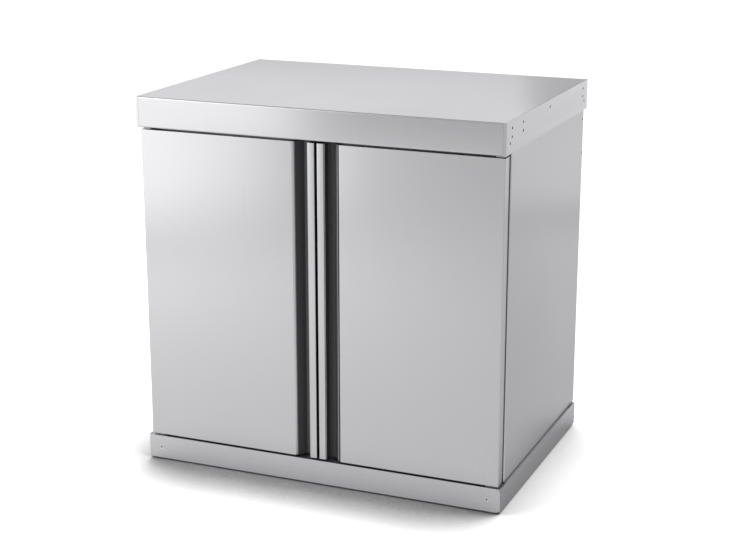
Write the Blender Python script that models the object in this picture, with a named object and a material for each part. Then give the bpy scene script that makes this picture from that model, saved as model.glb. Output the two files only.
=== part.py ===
# Outdoor kitchen cabinet: a cupboard of folded stainless sheet with two doors under a deep worktop.
# Metres, +Z up. The front faces -Y, and the origin is on the floor under the middle of the worktop.

import math

import bmesh
import bpy
from mathutils import Matrix, Vector

# Clearances shared by every piece
seat_gap = 0.0003        # between two pieces that touch
weld_depth = 0.0002      # how far a welded or riveted piece runs into what carries it
cut_overrun = 0.004      # how far a cutter runs past the face that it cuts

# Facets
round_steps = 16         # sides of a turned piece
hole_steps = 12          # sides of a drilled hole and its countersunk screw
screw_steps = 10         # sides of a pan-headed screw
bend_steps = 3           # facets in a sheet's bend
corner_steps = 5         # facets in a plate's rounded corner

# Worktop: one folded sheet with a band down the front and back, closed by a plate at each end
worktop_width = 0.900
worktop_depth = 0.650
counter_height = 0.900
band_height = 0.072
band_return = 0.020      # the band's lower edge turned in
worktop_sheet = 0.0015
worktop_bend = 0.0025    # inner radius
stiffener_height = 0.025
stiffener_width = 0.044
stiffener_flange = 0.015
stiffener_spacing = 0.240

# Holes in the worktop's end plates, counted from the front or back edge and from the top
band_hole_radius = 0.0025
band_hole_high = 0.017
band_hole_middle = 0.036
band_hole_low = 0.049
band_hole_near = 0.0295
band_hole_far = 0.042
band_hole_pair = 0.122

# Body: folded panels
panel_sheet = 0.0012
panel_bend = 0.0010      # inner radius
relief_share = 2.8       # cut-out where two folded edges meet, as a share of a bend's outer radius
side_inset = 0.002       # side panel's outer face behind the worktop's end
front_setback = 0.049    # side panel's front edge behind the worktop's front
back_setback = 0.021
side_flange = 0.025
body_lift = 0.0037       # body's lower edge above the plinth's top
side_hole_radius = 0.0025
side_hole_from_back = 0.009
side_hole_upper = 0.095  # below the counter height
side_hole_lower = 0.179
top_rail_flange = 0.025
front_rail_height = 0.0905
back_rail_height = 0.050

# Floor and shelf
floor_height = 0.090     # upper face above the ground
shelf_height = 0.445
shelf_edge = 0.025
shelf_lip = 0.012
shelf_front_setback = 0.026
shelf_back_gap = 0.004

# Plinth: four flat plates on a frame of folded channels
plinth_top = 0.062
plinth_bottom = 0.0045
plinth_sheet = 0.0015
plinth_proud = 0.002     # plinth's side beyond the worktop's end
plinth_toe = 0.0035      # plinth's front face before the doors
plinth_corner = 0.010
frame_bottom = 0.008
frame_flange = 0.045
front_flange = 0.045     # carries the front edge of the floor that stands on it
frame_sheet = 0.0015
frame_drop = 0.0008      # frame's top below the plinth's top
corner_sheet = 0.002

# Levelling feet
foot_pad_radius = 0.018
foot_pad_height = 0.004
foot_pad_edge = 0.0012
foot_stem_radius = 0.004
foot_stem_top = 0.050
foot_hole_gap = 0.0012   # around the stem in the sheet
nut_height = 0.0065
nut_wall = 0.0030
nut_sides = 6

# Screws
screw_radius = 0.0021
screw_hole_gap = 0.0004
screw_length = 0.012
screw_head_radius = 0.0045
screw_head_height = 0.0016
screw_head_edge = 0.0004
screw_socket_radius = 0.0020
screw_socket_depth = 0.0010
plinth_screw_inset = 0.032
plinth_screw_height = 0.033
plinth_screw_gap = 0.0001  # below the plate's face
back_screw_count = 4
back_screw_end = 0.080
back_screw_inset = 0.012

# Doors
door_thickness = 0.030
door_back_gap = 0.006
door_bottom_gap = 0.004
door_top_gap = 0.007
door_side_reveal = 0.0045
door_middle_gap = 0.006
door_sheet = 0.0012
door_bend = 0.0010
door_lip = 0.012
handle_width = 0.017
groove_width = 0.038
groove_depth = 0.024
groove_slope_run = 0.020
lining_sheet = 0.0010    # dark strip that lines the finger groove
lining_bend = 0.0008     # inner radius
lining_wall_setback = 0.0030   # its edge on the handle's side, behind the door's front
lining_slope_setback = 0.0045  # its edge on the slope, behind the door's front

# Hinges: a pin at the top and bottom corner of each door
hinge_inset = 0.013      # pin's axis from the door's outer edge
pin_radius = 0.003
pin_tip = 0.0006
pin_reach = 0.016        # into the door
pin_collar_radius = 0.007
pin_shank_radius = 0.0025
pin_bush_gap = 0.0003
bush_radius = 0.006
bush_flange_radius = 0.009
bush_flange_height = 0.002
bush_reach = 0.018
hinge_plate = 0.002
hinge_plate_width = 0.022
hinge_plate_bend = 0.0015
hinge_lower_width = 0.030
hinge_leaf_front = 0.010  # leaf beyond the pin's axis
hinge_leaf_corner = 0.004
hinge_upper_drop = 0.0015  # leaf above the door's top
hinge_leg_height = 0.040
hinge_screw_low = 0.014
hinge_screw_high = 0.030
hinge_lower_screw_reach = 0.013

# Magnetic catches and buffers
catch_from_middle = 0.045
catch_width = 0.040
catch_height = 0.0135
catch_depth = 0.026
catch_edge = 0.0015
catch_rim = 0.003
catch_recess = 0.0008
strike_thickness = 0.002
strike_margin = 0.001
strike_corner = 0.002
buffer_radius = 0.006
buffer_edge = 0.0012
buffer_from_middle = 0.030
buffer_below_floor = 0.012

# Places worked out from the sizes
half_width = worktop_width / 2
half_depth = worktop_depth / 2
band_bottom = counter_height - band_height
worktop_under = counter_height - worktop_sheet - seat_gap
worktop_end = half_width - worktop_sheet - seat_gap

body_side = half_width - side_inset
body_front = -half_depth + front_setback
body_back = half_depth - back_setback
body_bottom = plinth_top + body_lift
body_top = worktop_under
inner_side = body_side - panel_sheet - seat_gap
inner_front = body_front + panel_sheet + seat_gap
inner_top = body_top - panel_sheet - seat_gap
back_panel_outer = body_back - panel_sheet - seat_gap
inner_back = back_panel_outer - panel_sheet - seat_gap
tucked_side = inner_side - panel_bend

door_back = body_front - door_back_gap
door_front = door_back - door_thickness
door_outer = half_width - door_side_reveal
door_inner = door_middle_gap / 2
door_bottom = plinth_top + door_bottom_gap
door_top = band_bottom - door_top_gap
groove_start = door_inner + handle_width
groove_end = groove_start + groove_width
liner_back = door_back - door_sheet - seat_gap

hinge_x = door_outer - hinge_inset
hinge_y = (door_front + door_back) / 2

plinth_side = half_width + plinth_proud
plinth_front = door_front - plinth_toe
frame_side = plinth_side - plinth_sheet - seat_gap
frame_front = plinth_front + plinth_sheet + seat_gap
frame_back = body_back - plinth_sheet - seat_gap
frame_top = plinth_top - frame_drop
corner_front = frame_front + frame_sheet + seat_gap
corner_back = frame_back - frame_sheet - seat_gap
corner_width = frame_flange
front_corner_depth = front_flange - frame_sheet - 2 * seat_gap
back_corner_depth = frame_flange - frame_sheet - 2 * seat_gap
corner_bottom = frame_bottom + frame_sheet + seat_gap
corner_height = frame_top - frame_sheet - seat_gap - panel_bend - corner_bottom
foot_x = frame_side - corner_width / 2
foot_front = corner_front + front_corner_depth / 2
foot_back = corner_back - back_corner_depth / 2

sides = (("left", -1), ("right", 1))


# Materials

def surface(name, colour, roughness, metallic):
    material = bpy.data.materials.new(name)
    material.use_nodes = True
    shader = material.node_tree.nodes["Principled BSDF"]
    shader.inputs["Base Color"].default_value = (*colour, 1)
    shader.inputs["Roughness"].default_value = roughness
    shader.inputs["Metallic"].default_value = metallic
    return material


def brushed_stainless(name):
    return surface(name, (0.60, 0.60, 0.61), 0.32, 1)


def plain_steel(name):
    return surface(name, (0.46, 0.46, 0.47), 0.42, 1)


def black_rubber(name):
    return surface(name, (0.02, 0.02, 0.02), 0.75, 0)


def black_nylon(name):
    return surface(name, (0.04, 0.04, 0.04), 0.50, 0)


# Outlines

def mirrored(outline):
    return [(-first, second) for first, second in outline]


def turned_about(point, angle):
    return Vector((point.x * math.cos(angle) - point.y * math.sin(angle),
                   point.x * math.sin(angle) + point.y * math.cos(angle)))


def folded_outline(path, sheet, inner_radius):
    # The section of a folded sheet. One face follows the path, and the sheet lies to its left.
    corners = [Vector(point) for point in path]
    first = (corners[1] - corners[0]).normalized()
    last = (corners[-1] - corners[-2]).normalized()
    face = [corners[0]]
    other = [corners[0] + Vector((-first.y, first.x)) * sheet]
    for before, corner, after in zip(corners, corners[1:], corners[2:]):
        arriving = (corner - before).normalized()
        leaving = (after - corner).normalized()
        cross = arriving.x * leaving.y - arriving.y * leaving.x
        turn = 1 if cross > 0 else -1
        angle = math.acos(max(-1, min(1, arriving.dot(leaving))))
        face_radius = inner_radius + (sheet if turn > 0 else 0)
        other_radius = inner_radius + (0 if turn > 0 else sheet)
        inward = Vector((-arriving.y, arriving.x)) * turn
        centre = corner - arriving * face_radius * math.tan(angle / 2) + inward * face_radius
        for step in range(bend_steps + 1):
            spoke = turned_about(-inward, turn * angle * step / bend_steps)
            face.append(centre + spoke * face_radius)
            other.append(centre + spoke * other_radius)
    face.append(corners[-1])
    other.append(corners[-1] + Vector((-last.y, last.x)) * sheet)
    return [tuple(point) for point in face + other[::-1]]


def channel_outline(web, low, high, flange):
    # A channel whose flat web is at the given place and whose edges turn towards plus.
    path = [(web + flange, high), (web, high), (web, low), (web + flange, low)]
    return folded_outline(path, frame_sheet, panel_bend)


def rounded_rectangle(low, high, radii):
    # Corners in the order low-low, high-low, high-high, low-high. A radius of zero is square.
    corners = ((low[0], low[1], 1, 1), (high[0], low[1], -1, 1),
               (high[0], high[1], -1, -1), (low[0], high[1], 1, -1))
    outline = []
    for index, (across, up, inward, upward) in enumerate(corners):
        radius = radii[index]
        if radius == 0:
            outline.append((across, up))
            continue
        start = math.pi + index * math.pi / 2
        for step in range(corner_steps + 1):
            angle = start + step / corner_steps * math.pi / 2
            outline.append((across + inward * radius + math.cos(angle) * radius,
                            up + upward * radius + math.sin(angle) * radius))
    return outline


# Shapes added to a mesh

def in_space(axis, pair, along):
    if axis == "X":
        return Vector((along, pair[0], pair[1]))
    if axis == "Y":
        return Vector((pair[0], along, pair[1]))
    return Vector((pair[0], pair[1], along))


def add_prism(mesh, outline, axis, start, end):
    # An outline in the two other axes, in their alphabetical order, extruded along one axis.
    corners = [mesh.verts.new(in_space(axis, pair, start)) for pair in outline]
    face = mesh.faces.new(corners)
    extruded = bmesh.ops.extrude_face_region(mesh, geom=[face])["geom"]
    moved = [item for item in extruded if isinstance(item, bmesh.types.BMVert)]
    bmesh.ops.translate(mesh, vec=in_space(axis, (0, 0), end - start), verts=moved)


def add_turned(mesh, profile, centre, direction, steps=round_steps):
    # A profile of (radius, height) turned about the direction through the centre.
    turn = Vector((0, 0, 1)).rotation_difference(Vector(direction)).to_matrix().to_4x4()
    place = Matrix.Translation(centre) @ turn
    closed = profile[0] == profile[-1]
    points = profile[:-1] if closed else profile
    ring = [mesh.verts.new((radius, 0, height)) for radius, height in points]
    pairs = list(zip(ring, ring[1:])) + ([(ring[-1], ring[0])] if closed else [])
    edges = [mesh.edges.new(pair) for pair in pairs]
    before = set(mesh.verts) - set(ring)
    bmesh.ops.spin(mesh, geom=ring + edges, cent=(0, 0, 0), axis=(0, 0, 1),
                   angle=math.tau, steps=steps, use_merge=True)
    made = [vert for vert in mesh.verts if vert not in before]
    bmesh.ops.remove_doubles(mesh, verts=made, dist=seat_gap / round_steps)
    made = [vert for vert in mesh.verts if vert not in before]
    bmesh.ops.transform(mesh, matrix=place, verts=made)


def add_folded_panel(mesh, corner, across, up, outward, edges, sheet, bend):
    # The outer face of a sheet with folded edges, which a Solidify modifier thickens inwards.
    # An edge is low, end, high or start, with its depth, its lip and its inset at both ends.
    u, v = across.normalized(), up.normalized()
    relief = relief_share * (bend + sheet)
    places = {"low": (corner, u, across.length, v), "end": (corner + across, v, up.length, -u),
              "high": (corner + across + up, -u, across.length, -v),
              "start": (corner + up, -v, up.length, u)}
    order = ("low", "end", "high", "start")
    rim, folds = [], []
    for index, name in enumerate(order):
        origin, along, length, _ = places[name]
        previous = order[index - 1]
        if name in edges and previous in edges:
            rim.append(mesh.verts.new(origin + along * relief))
        else:
            rim.append(mesh.verts.new(origin))
        first = rim[-1]
        if name not in edges:
            continue
        _, _, start_inset, end_inset = edges[name]
        following = order[(index + 1) % len(order)]
        if start_inset:
            first = mesh.verts.new(origin + along * start_inset)
            rim.append(first)
        if end_inset or following in edges:
            rim.append(mesh.verts.new(origin + along * (length - (end_inset or relief))))
            folds.append((name, first, rim[-1]))
        else:
            folds.append((name, first, None))
    plate = mesh.faces.new(rim)
    plate.normal_update()
    bends = []
    for name, first, second in folds:
        _, along, _, inward = places[name]
        depth, lip, _, _ = edges[name]
        second = second or rim[(rim.index(first) + 1) % len(rim)]
        edge = mesh.edges.get((first, second))
        bends.append(edge)
        grown = bmesh.ops.extrude_edge_only(mesh, edges=[edge])["geom"]
        tips = [item for item in grown if isinstance(item, bmesh.types.BMVert)]
        bmesh.ops.translate(mesh, vec=-outward * depth, verts=tips)
        if lip:
            edge = mesh.edges.get(tips)
            bends.append(edge)
            grown = bmesh.ops.extrude_edge_only(mesh, edges=[edge])["geom"]
            tips = [item for item in grown if isinstance(item, bmesh.types.BMVert)]
            middle = (tips[0].co + tips[1].co) / 2
            for tip in tips:
                mitre = along if (middle - tip.co).dot(along) > 0 else -along
                tip.co += inward * lip + mitre * lip
    bmesh.ops.recalc_face_normals(mesh, faces=mesh.faces)
    if plate.normal.dot(outward) < 0:
        bmesh.ops.reverse_faces(mesh, faces=mesh.faces)
    bmesh.ops.bevel(mesh, geom=bends, offset=bend + sheet, offset_type="OFFSET",
                    segments=bend_steps, profile=0.5, affect="EDGES", material=-1)


# Objects

def make_object(name, mesh, material, origin=(0, 0, 0), parent=None, closed=True):
    # The object's origin is at the given world point, which is the parent's own place if it has one.
    if closed:
        bmesh.ops.recalc_face_normals(mesh, faces=mesh.faces)
    bmesh.ops.translate(mesh, vec=-Vector(origin), verts=mesh.verts)
    data = bpy.data.meshes.new(name)
    mesh.to_mesh(data)
    mesh.free()
    data.shade_smooth()
    data.set_sharp_from_angle(angle=math.radians(35))
    made = bpy.data.objects.new(name, data)
    data.materials.append(material(name))
    bpy.context.scene.collection.objects.link(made)
    if parent:
        made.parent = parent
    else:
        made.location = origin
    return made


def thicken(panel, sheet):
    solid = panel.modifiers.new("Sheet", "SOLIDIFY")
    solid.thickness = sheet
    solid.offset = -1
    solid.use_even_offset = True
    return panel


def combine(panel, mesh, word, operation):
    # Cuts the mesh out of the panel, or joins it on, by way of a hidden object.
    helper = make_object(panel.name + "_" + word, mesh, plain_steel)
    helper.hide_render = True
    helper.display_type = "WIRE"
    change = panel.modifiers.new(word, "BOOLEAN")
    change.operation = operation
    change.object = helper


def drill(panel, holes):
    # Each hole is its middle, its axis, its radius and the thickness that it goes through.
    mesh = bmesh.new()
    for centre, axis, radius, thickness in holes:
        half = thickness / 2 + cut_overrun
        profile = [(0, -half), (radius, -half), (radius, half), (0, half)]
        add_turned(mesh, profile, centre, axis, hole_steps)
    combine(panel, mesh, "holes", "DIFFERENCE")


def axis_empty(name, place):
    empty = bpy.data.objects.new(name, None)
    empty.empty_display_size = pin_reach
    empty.location = place
    bpy.context.scene.collection.objects.link(empty)
    return empty


# Worktop

def worktop():
    path = [(half_depth - band_return, band_bottom), (half_depth, band_bottom),
            (half_depth, counter_height), (-half_depth, counter_height),
            (-half_depth, band_bottom), (-half_depth + band_return, band_bottom)]
    mesh = bmesh.new()
    add_prism(mesh, folded_outline(path, worktop_sheet, worktop_bend), "X", -worktop_end, worktop_end)
    make_object("worktop", mesh, brushed_stainless)


def worktop_end_plates():
    corner = worktop_bend + worktop_sheet
    outline = rounded_rectangle((-half_depth, band_bottom), (half_depth, counter_height),
                                (0, 0, corner, corner))
    places = []
    for end in (-1, 1):
        places += [(end * (half_depth - band_hole_far), band_hole_high),
                   (end * (half_depth - band_hole_far), band_hole_middle),
                   (end * (half_depth - band_hole_near), band_hole_low)]
    places += [(band_hole_pair - half_depth, band_hole_high),
               (band_hole_pair - half_depth, band_hole_middle), (0, band_hole_high)]
    for name, side in sides:
        mesh = bmesh.new()
        add_prism(mesh, outline, "X", side * (half_width - worktop_sheet), side * half_width)
        plate = make_object("worktop_end_" + name, mesh, brushed_stainless)
        middle = side * (half_width - worktop_sheet / 2)
        drill(plate, [(Vector((middle, y, counter_height - below)), (1, 0, 0), band_hole_radius,
                       worktop_sheet) for y, below in places])


def worktop_stiffeners():
    reach = body_side - side_flange - seat_gap
    for name, end in (("front", -1), ("back", 1)):
        middle = end * stiffener_spacing / 2
        half = stiffener_width / 2
        path = [(middle + half + stiffener_flange, worktop_under), (middle + half, worktop_under),
                (middle + half, worktop_under - stiffener_height),
                (middle - half, worktop_under - stiffener_height),
                (middle - half, worktop_under), (middle - half - stiffener_flange, worktop_under)]
        mesh = bmesh.new()
        add_prism(mesh, folded_outline(path, panel_sheet, panel_bend), "X", -reach, reach)
        make_object("worktop_stiffener_" + name, mesh, plain_steel)


# Body

def hinge_screw_holes(side, y, thickness):
    return [(Vector((side * hinge_x, y, upper_leaf_bottom() + z)), (0, 1, 0),
             screw_radius + screw_hole_gap, thickness) for z in (hinge_screw_low, hinge_screw_high)]


def back_screw_places(side, y):
    low, high = body_bottom + back_screw_end, body_top - back_screw_end
    heights = [low + (high - low) * index / (back_screw_count - 1) for index in range(back_screw_count)]
    return [Vector((side * (body_side - back_screw_inset), y, z)) for z in heights]


def side_panels():
    # Each carries the screws that hold the back panel to its rear flange.
    for name, side in sides:
        mesh = bmesh.new()
        corner = Vector((side * body_side, body_front, body_bottom))
        edges = {"high": (side_flange, 0, 0, 0), "start": (side_flange, 0, 0, 0),
                 "end": (side_flange, 0, 0, 0)}
        add_folded_panel(mesh, corner, Vector((0, body_back - body_front, 0)),
                         Vector((0, 0, body_top - body_bottom)), Vector((side, 0, 0)), edges,
                         panel_sheet, panel_bend)
        panel = make_object("side_panel_" + name, mesh, brushed_stainless, closed=False)
        thicken(panel, panel_sheet)
        screws = bmesh.new()
        for place in back_screw_places(side, body_back):
            add_pan_screw(screws, place, (0, 1, 0), -weld_depth)
        combine(panel, screws, "screws", "UNION")
        middle = side * (body_side - panel_sheet / 2)
        holes = [(Vector((middle, body_back - side_hole_from_back, counter_height - below)),
                  (1, 0, 0), side_hole_radius, panel_sheet)
                 for below in (side_hole_upper, side_hole_lower)]
        holes += hinge_screw_holes(side, body_front + panel_sheet / 2, panel_sheet)
        drill(panel, holes)


def back_panel():
    mesh = bmesh.new()
    outline = rounded_rectangle((-tucked_side, body_bottom), (tucked_side, inner_top), (0, 0, 0, 0))
    add_prism(mesh, outline, "Y", back_panel_outer - panel_sheet, back_panel_outer)
    panel = make_object("back_panel", mesh, brushed_stainless)
    drill(panel, [(place, (0, 1, 0), screw_radius + screw_hole_gap, panel_sheet) for _, side in sides
                  for place in back_screw_places(side, back_panel_outer - panel_sheet / 2)])


def top_rails():
    front = channel_outline(inner_front, inner_top - front_rail_height, inner_top, top_rail_flange)
    back = mirrored(channel_outline(-inner_back, inner_top - back_rail_height, inner_top,
                                    top_rail_flange))
    mesh = bmesh.new()
    add_prism(mesh, front, "X", -tucked_side, tucked_side)
    rail = make_object("top_rail_front", mesh, brushed_stainless)
    drill(rail, [hole for _, side in sides
                 for hole in hinge_screw_holes(side, inner_front + frame_sheet / 2, frame_sheet)])
    mesh = bmesh.new()
    add_prism(mesh, back, "X", -tucked_side, tucked_side)
    make_object("top_rail_back", mesh, brushed_stainless)


def floor_panel():
    bottom = frame_top + seat_gap
    depth = floor_height - bottom
    edges = {name: (depth, 0, 0, 0) for name in ("low", "end", "high", "start")}
    mesh = bmesh.new()
    add_folded_panel(mesh, Vector((-inner_side, inner_front, floor_height)),
                     Vector((2 * inner_side, 0, 0)), Vector((0, inner_back - inner_front, 0)),
                     Vector((0, 0, 1)), edges, panel_sheet, panel_bend)
    thicken(make_object("floor_panel", mesh, brushed_stainless, closed=False), panel_sheet)


def shelf():
    # Its folded sides lie against the side panels, where they are spot-welded.
    front, back = body_front + shelf_front_setback, inner_back - shelf_back_gap
    edges = {name: (shelf_edge, shelf_lip, 0, 0) for name in ("low", "end", "high", "start")}
    mesh = bmesh.new()
    add_folded_panel(mesh, Vector((-inner_side, front, shelf_height)),
                     Vector((2 * inner_side, 0, 0)), Vector((0, back - front, 0)),
                     Vector((0, 0, 1)), edges, panel_sheet, panel_bend)
    thicken(make_object("shelf", mesh, brushed_stainless, closed=False), panel_sheet)


# Plinth and its frame

def frame_channels():
    front = channel_outline(frame_front, frame_bottom, frame_top, front_flange)
    back = mirrored(channel_outline(-frame_back, frame_bottom, frame_top, frame_flange))
    foot_hole = foot_stem_radius + foot_hole_gap
    screw_hole = screw_radius + screw_hole_gap
    for name, outline, foot_y, web in (("front", front, foot_front, frame_front),
                                       ("back", back, foot_back, frame_back)):
        mesh = bmesh.new()
        add_prism(mesh, outline, "X", -frame_side, frame_side)
        channel = make_object("frame_channel_" + name, mesh, plain_steel)
        inward = 1 if web < 0 else -1
        holes = []
        for _, side in sides:
            holes.append((Vector((side * foot_x, foot_y, frame_bottom + frame_sheet / 2)),
                          (0, 0, 1), foot_hole, frame_sheet))
            holes.append((Vector((side * (plinth_side - plinth_screw_inset),
                                  web + inward * frame_sheet / 2, plinth_screw_height)),
                          (0, 1, 0), screw_hole, frame_sheet))
        if name == "front":
            for _, side in sides:
                holes.append((Vector((side * lower_screw_x(), hinge_y, frame_top - frame_sheet / 2)),
                              (0, 0, 1), screw_hole, frame_sheet))
        drill(channel, holes)
    side_outline = channel_outline(-frame_side, frame_bottom, frame_top, frame_flange)
    start = frame_front + front_flange + seat_gap
    end = frame_back - frame_flange - seat_gap
    for name, outline in (("left", side_outline), ("right", mirrored(side_outline))):
        mesh = bmesh.new()
        add_prism(mesh, outline, "Y", start, end)
        make_object("frame_channel_" + name, mesh, plain_steel)


def frame_corners():
    screw_hole = screw_radius + screw_hole_gap
    for end_name, corner_y, end, depth, foot_y, plinth_y in (
            ("front", corner_front, -1, front_corner_depth, foot_front, plinth_front),
            ("back", corner_back, 1, back_corner_depth, foot_back, body_back)):
        for name, side in sides:
            mesh = bmesh.new()
            corner = Vector((side * frame_side, corner_y, corner_bottom))
            edges = {"low": (corner_height, 0, 0, 0), "start": (corner_height, 0, 0, 0)}
            add_folded_panel(mesh, corner, Vector((-side * corner_width, 0, 0)),
                             Vector((0, -end * depth, 0)), Vector((0, 0, -1)), edges,
                             corner_sheet, panel_bend)
            bracket = make_object("frame_corner_" + end_name + "_" + name, mesh, plain_steel,
                                  closed=False)
            thicken(bracket, corner_sheet)
            combine(bracket, weld_nut(side * foot_x, foot_y), "nut", "UNION")
            drill(bracket, [
                (Vector((side * foot_x, foot_y, corner_bottom + corner_sheet / 2)), (0, 0, 1),
                 foot_stem_radius + foot_hole_gap, corner_sheet),
                (Vector((side * (plinth_side - plinth_screw_inset),
                         corner_y - end * corner_sheet / 2, plinth_screw_height)), (0, 1, 0),
                 screw_hole, corner_sheet),
                (Vector((side * (frame_side - corner_sheet / 2),
                         plinth_y - end * plinth_screw_inset, plinth_screw_height)), (1, 0, 0),
                 screw_hole, corner_sheet)])


def countersunk_cutters(places):
    # One cutter for the countersunk holes, each given by its place on the face and its way out.
    mesh = bmesh.new()
    head, shank = screw_head_radius + screw_hole_gap, screw_radius + screw_hole_gap
    depth = plinth_sheet
    profile = [(0, -depth - cut_overrun), (shank, -depth - cut_overrun), (shank, -depth),
               (head, 0), (head, cut_overrun), (0, cut_overrun)]
    for place, way in places:
        add_turned(mesh, profile, place, way, hole_steps)
    return mesh


def plinth_plates():
    radii = (plinth_corner,) * 4
    screws = plinth_screw_places()
    front_outline = rounded_rectangle((-plinth_side, plinth_bottom), (plinth_side, plinth_top), radii)
    side_outline = rounded_rectangle((plinth_front + plinth_sheet + seat_gap, plinth_bottom),
                                     (body_back - plinth_sheet - seat_gap, plinth_top), (0, 0, 0, 0))
    plates = (("front", front_outline, "Y", plinth_front + plinth_sheet, plinth_front),
              ("back", front_outline, "Y", body_back - plinth_sheet, body_back),
              ("left", side_outline, "X", -plinth_side + plinth_sheet, -plinth_side),
              ("right", side_outline, "X", plinth_side - plinth_sheet, plinth_side))
    for name, outline, axis, inner, outer in plates:
        mesh = bmesh.new()
        add_prism(mesh, outline, axis, inner, outer)
        plate = make_object("plinth_" + name, mesh, brushed_stainless)
        combine(plate, countersunk_cutters(screws[name]), "holes", "DIFFERENCE")


def plinth_screw_places():
    places = {"front": [], "back": [], "left": [], "right": []}
    for name, side in sides:
        x = side * (plinth_side - plinth_screw_inset)
        places["front"].append((Vector((x, plinth_front, plinth_screw_height)), Vector((0, -1, 0))))
        places["back"].append((Vector((x, body_back, plinth_screw_height)), Vector((0, 1, 0))))
        for y in (plinth_front + plinth_screw_inset, body_back - plinth_screw_inset):
            places[name].append((Vector((side * plinth_side, y, plinth_screw_height)),
                                 Vector((side, 0, 0))))
    return places


def plinth_screws():
    # Countersunk heads just under the plate's face, each with a round socket.
    profile = [(0, -screw_length), (screw_radius, -screw_length), (screw_radius, -plinth_sheet),
               (screw_head_radius, 0), (screw_socket_radius, 0),
               (screw_socket_radius, -screw_socket_depth), (0, -screw_socket_depth)]
    for name, places in plinth_screw_places().items():
        for number, (place, way) in enumerate(places, 1):
            mesh = bmesh.new()
            add_turned(mesh, profile, place - way * plinth_screw_gap, way, hole_steps)
            make_object("plinth_screw_" + name + "_" + str(number), mesh, plain_steel, place)


def levelling_feet():
    top = foot_pad_height
    profile = [(0, 0), (foot_pad_radius - foot_pad_edge, 0), (foot_pad_radius, foot_pad_edge),
               (foot_pad_radius, top - foot_pad_edge), (foot_pad_radius - foot_pad_edge, top),
               (foot_stem_radius, top), (foot_stem_radius, foot_stem_top - foot_pad_edge),
               (foot_stem_radius - foot_pad_edge, foot_stem_top), (0, foot_stem_top)]
    for end, y in (("front", foot_front), ("back", foot_back)):
        for name, side in sides:
            mesh = bmesh.new()
            place = Vector((side * foot_x, y, 0))
            add_turned(mesh, profile, place, (0, 0, 1))
            make_object("levelling_foot_" + end + "_" + name, mesh, plain_steel, place)


def weld_nut(x, y):
    # The six-sided nut that a foot's stem runs in, welded on the corner's flat plate.
    inner = (foot_stem_radius + seat_gap) / math.cos(math.pi / nut_sides)
    outer = inner + nut_wall
    low = corner_bottom + corner_sheet - weld_depth
    profile = [(inner, low), (outer, low), (outer, low + nut_height), (inner, low + nut_height),
               (inner, low)]
    mesh = bmesh.new()
    add_turned(mesh, profile, Vector((x, y, 0)), (0, 0, 1), nut_sides)
    return mesh


# Doors

def door_skin(name, side, axis):
    path = [(door_inner + door_lip, door_back), (door_inner, door_back), (door_inner, door_front),
            (groove_start, door_front), (groove_start, door_front + groove_depth),
            (groove_end - groove_slope_run, door_front + groove_depth), (groove_end, door_front),
            (door_outer, door_front), (door_outer, door_back), (door_outer - door_lip, door_back)]
    outline = folded_outline(path, door_sheet, door_bend)
    mesh = bmesh.new()
    add_prism(mesh, outline if side > 0 else mirrored(outline), "Z", door_bottom, door_top)
    make_object(name + "_door_skin", mesh, brushed_stainless, axis.location, axis)


def door_liner(name, side, axis):
    # The door's inner sheet: its upper and lower edges turn forward and close the panel's ends.
    tuck = door_sheet + seat_gap + door_bend
    start, end = door_inner + tuck, door_outer - tuck
    depth = liner_back - (door_front + door_sheet + seat_gap)
    by_groove = groove_end + door_sheet + door_bend + seat_gap - start
    across = Vector((side * (end - start), 0, 0))
    corner = Vector((side * start, liner_back, door_bottom))
    outer_inset = panel_bend
    edges = {"low": (depth, 0, by_groove, outer_inset), "high": (depth, 0, outer_inset, by_groove)}
    mesh = bmesh.new()
    add_folded_panel(mesh, corner, across, Vector((0, 0, door_top - door_bottom)),
                     Vector((0, 1, 0)), edges, door_sheet, door_bend)
    liner = make_object(name + "_door_liner", mesh, brushed_stainless, axis.location, axis, False)
    thicken(liner, door_sheet)
    drill(liner, [(Vector((side * hinge_x, hinge_y, z)), (0, 0, 1), bush_radius + seat_gap, door_sheet)
                  for z in (door_bottom + door_sheet / 2, door_top - door_sheet / 2)])


def groove_lining(name, side, axis):
    # A thin dark strip that lies on the handle's side, the groove's floor and most of its slope.
    slope = Vector((groove_slope_run, -groove_depth)).normalized()
    out = Vector((slope.y, -slope.x)) * seat_gap
    floor_y = door_front + groove_depth - seat_gap
    foot = Vector((groove_end - groove_slope_run, door_front + groove_depth)) + out
    foot += slope * (floor_y - foot.y) / slope.y
    rise = lining_slope_setback / groove_depth
    upper = Vector((groove_end - groove_slope_run * rise, door_front + lining_slope_setback)) + out
    wall = groove_start + seat_gap
    path = [upper, foot, (wall, floor_y), (wall, door_front + lining_wall_setback)]
    outline = folded_outline(path, lining_sheet, lining_bend)
    mesh = bmesh.new()
    add_prism(mesh, outline if side > 0 else mirrored(outline), "Z", door_bottom, door_top)
    make_object(name + "_door_groove_lining", mesh, black_nylon, axis.location, axis)


def door_bush_pair(name, side, axis):
    bore = pin_radius + pin_bush_gap
    seat = door_sheet + seat_gap
    profile = [(bore, 0), (bush_radius, 0), (bush_radius, seat), (bush_flange_radius, seat),
               (bush_flange_radius, seat + bush_flange_height),
               (bush_radius, seat + bush_flange_height), (bush_radius, bush_reach),
               (bore, bush_reach), (bore, 0)]
    for word, height, way in (("lower", door_bottom, 1), ("upper", door_top, -1)):
        mesh = bmesh.new()
        add_turned(mesh, profile, Vector((side * hinge_x, hinge_y, height)), (0, 0, way))
        make_object(name + "_door_bush_" + word, mesh, black_nylon, axis.location, axis)


def catch_top():
    return inner_top - front_rail_height - seat_gap


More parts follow.
